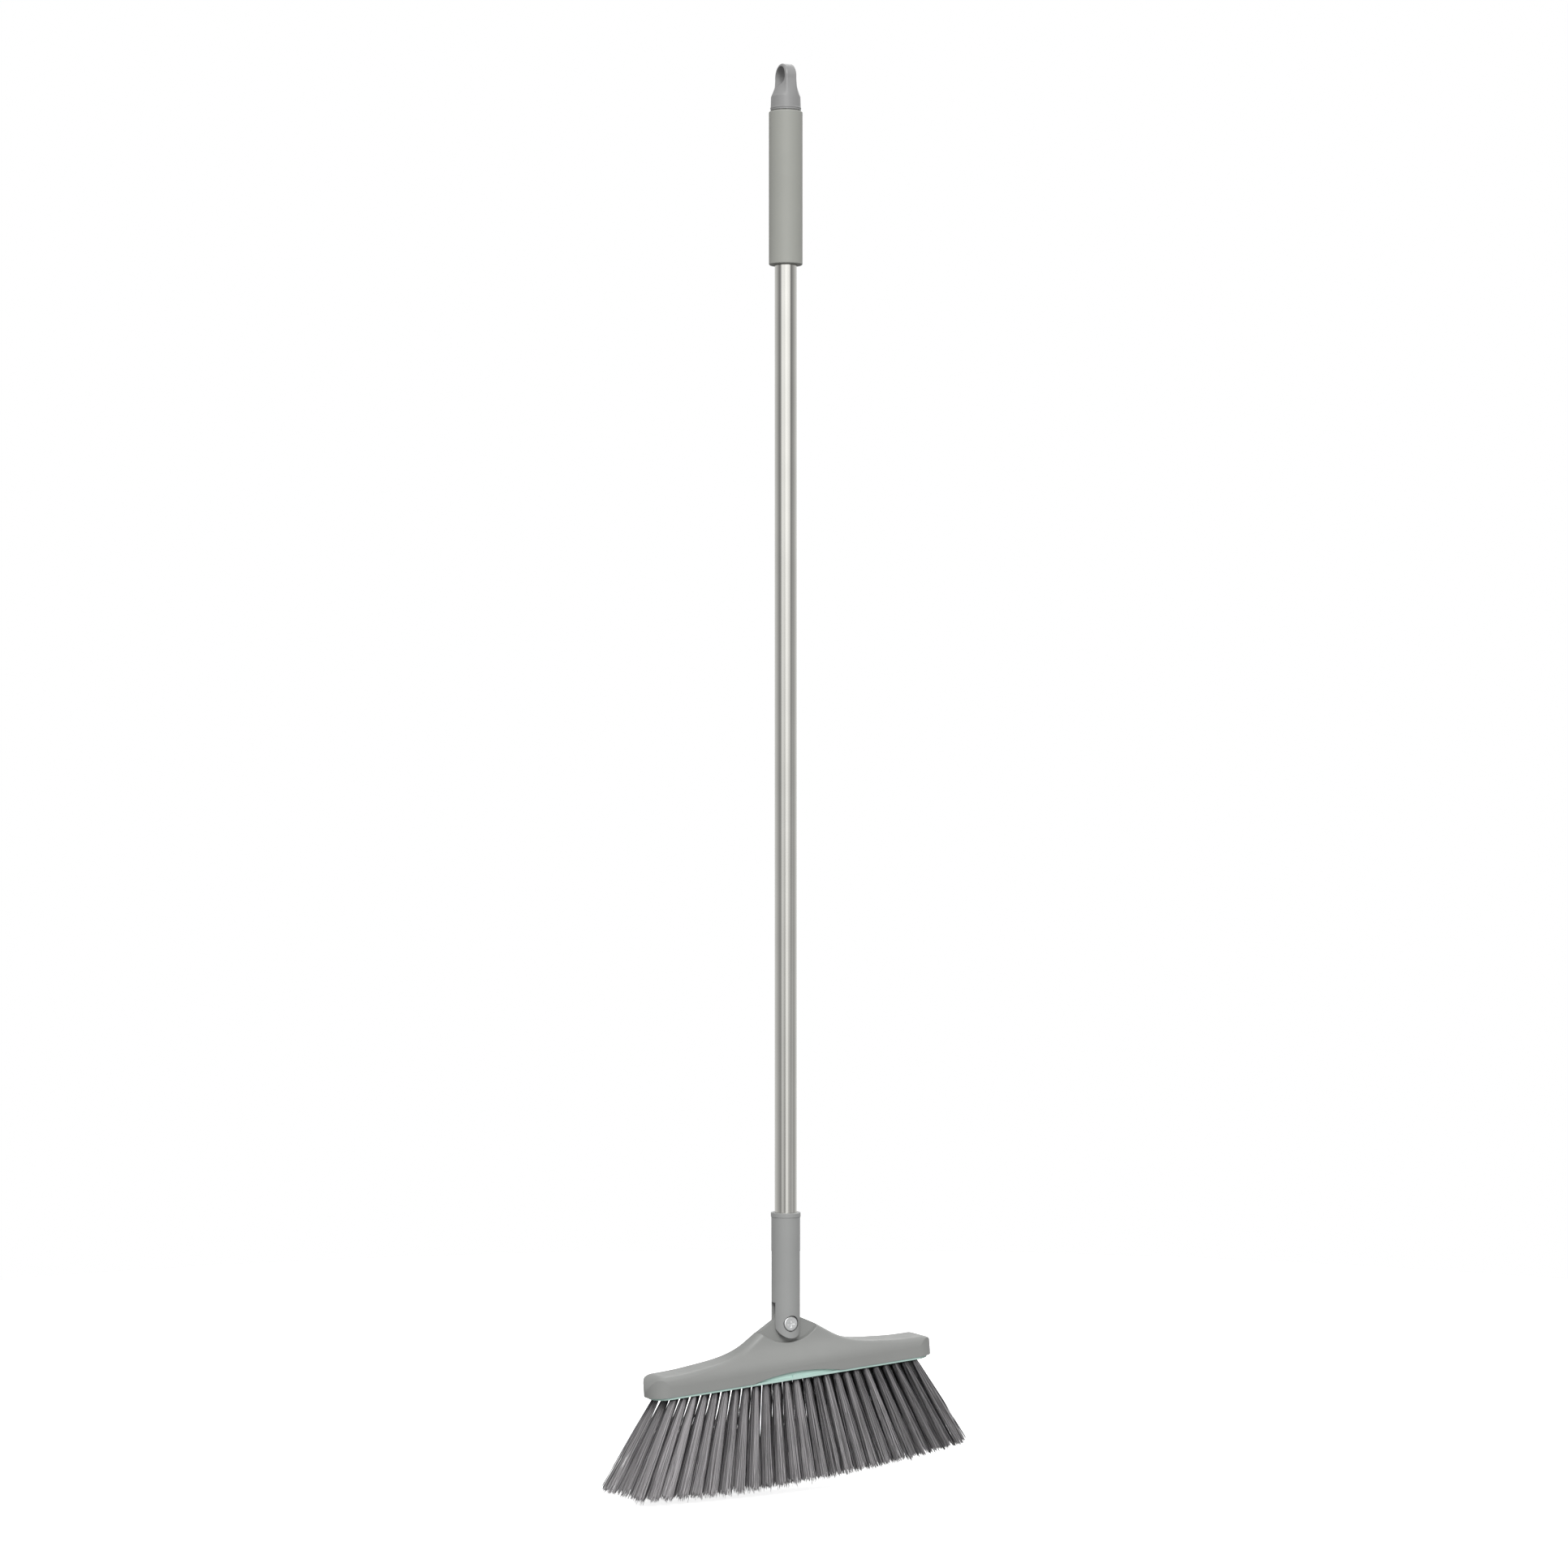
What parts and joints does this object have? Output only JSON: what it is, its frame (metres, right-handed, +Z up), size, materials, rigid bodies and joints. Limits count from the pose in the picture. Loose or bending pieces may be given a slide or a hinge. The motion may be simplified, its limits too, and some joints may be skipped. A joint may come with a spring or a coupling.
{
  "type": "swivel head broom",
  "caption": "Push broom with a long steel tube handle, hanging cap, grip sleeve and a swivelling, hill-shaped brush head with flared soft bristles.",
  "frame": {"origin": "centre of the hanging hole in the cap at the top of the handle", "axes": "+Z up along the handle, +X across the hanging hole and along the brush head, +Y to the rear"},
  "size_m": [0.3298, 0.0552, 1.2229],
  "materials": {
    "cap_plastic": "satin",
    "inner_plastic": "matte",
    "grip_plastic": "matte",
    "stainless_tube": "polished",
    "socket_plastic": "satin",
    "screw_steel": "gloss",
    "washer_steel": "satin",
    "bush_brass": "satin",
    "shell_plastic": "satin",
    "mint_plastic": "satin",
    "bristle_fibre": "satin",
    "staple_steel": "satin"
  },
  "bodies": {
    "handle": {"hang_cap": "cap_plastic", "cap_insert": "inner_plastic", "grip_sleeve": "grip_plastic", "handle_tube": "stainless_tube", "lower_plug": "inner_plastic", "fork_socket": "socket_plastic", "socket_screw": "screw_steel", "pivot_bolt": "screw_steel", "bolt_washer": "washer_steel", "spring_washer": "washer_steel", "pivot_nut": "washer_steel", "pivot_bush": "bush_brass", "thrust_washer_front": "inner_plastic", "thrust_washer_rear": "inner_plastic"},
    "brush_head": {"head_shell": "shell_plastic", "bristle_block": "mint_plastic", "block_screws": "washer_steel", "tufts_row_1": "bristle_fibre", "staples_row_1": "staple_steel", "tufts_row_2": "bristle_fibre", "staples_row_2": "staple_steel", "tufts_row_3": "bristle_fibre", "staples_row_3": "staple_steel", "tufts_row_4": "bristle_fibre", "staples_row_4": "staple_steel"}
  },
  "joints": [
    {"name": "head_tilt", "type": "hinge", "parent": "handle", "child": "brush_head", "pos_m": [0, 0, -1.0717], "axis": [0, 1, 0], "range_deg": [-45.5, 54.5]}
  ]
}
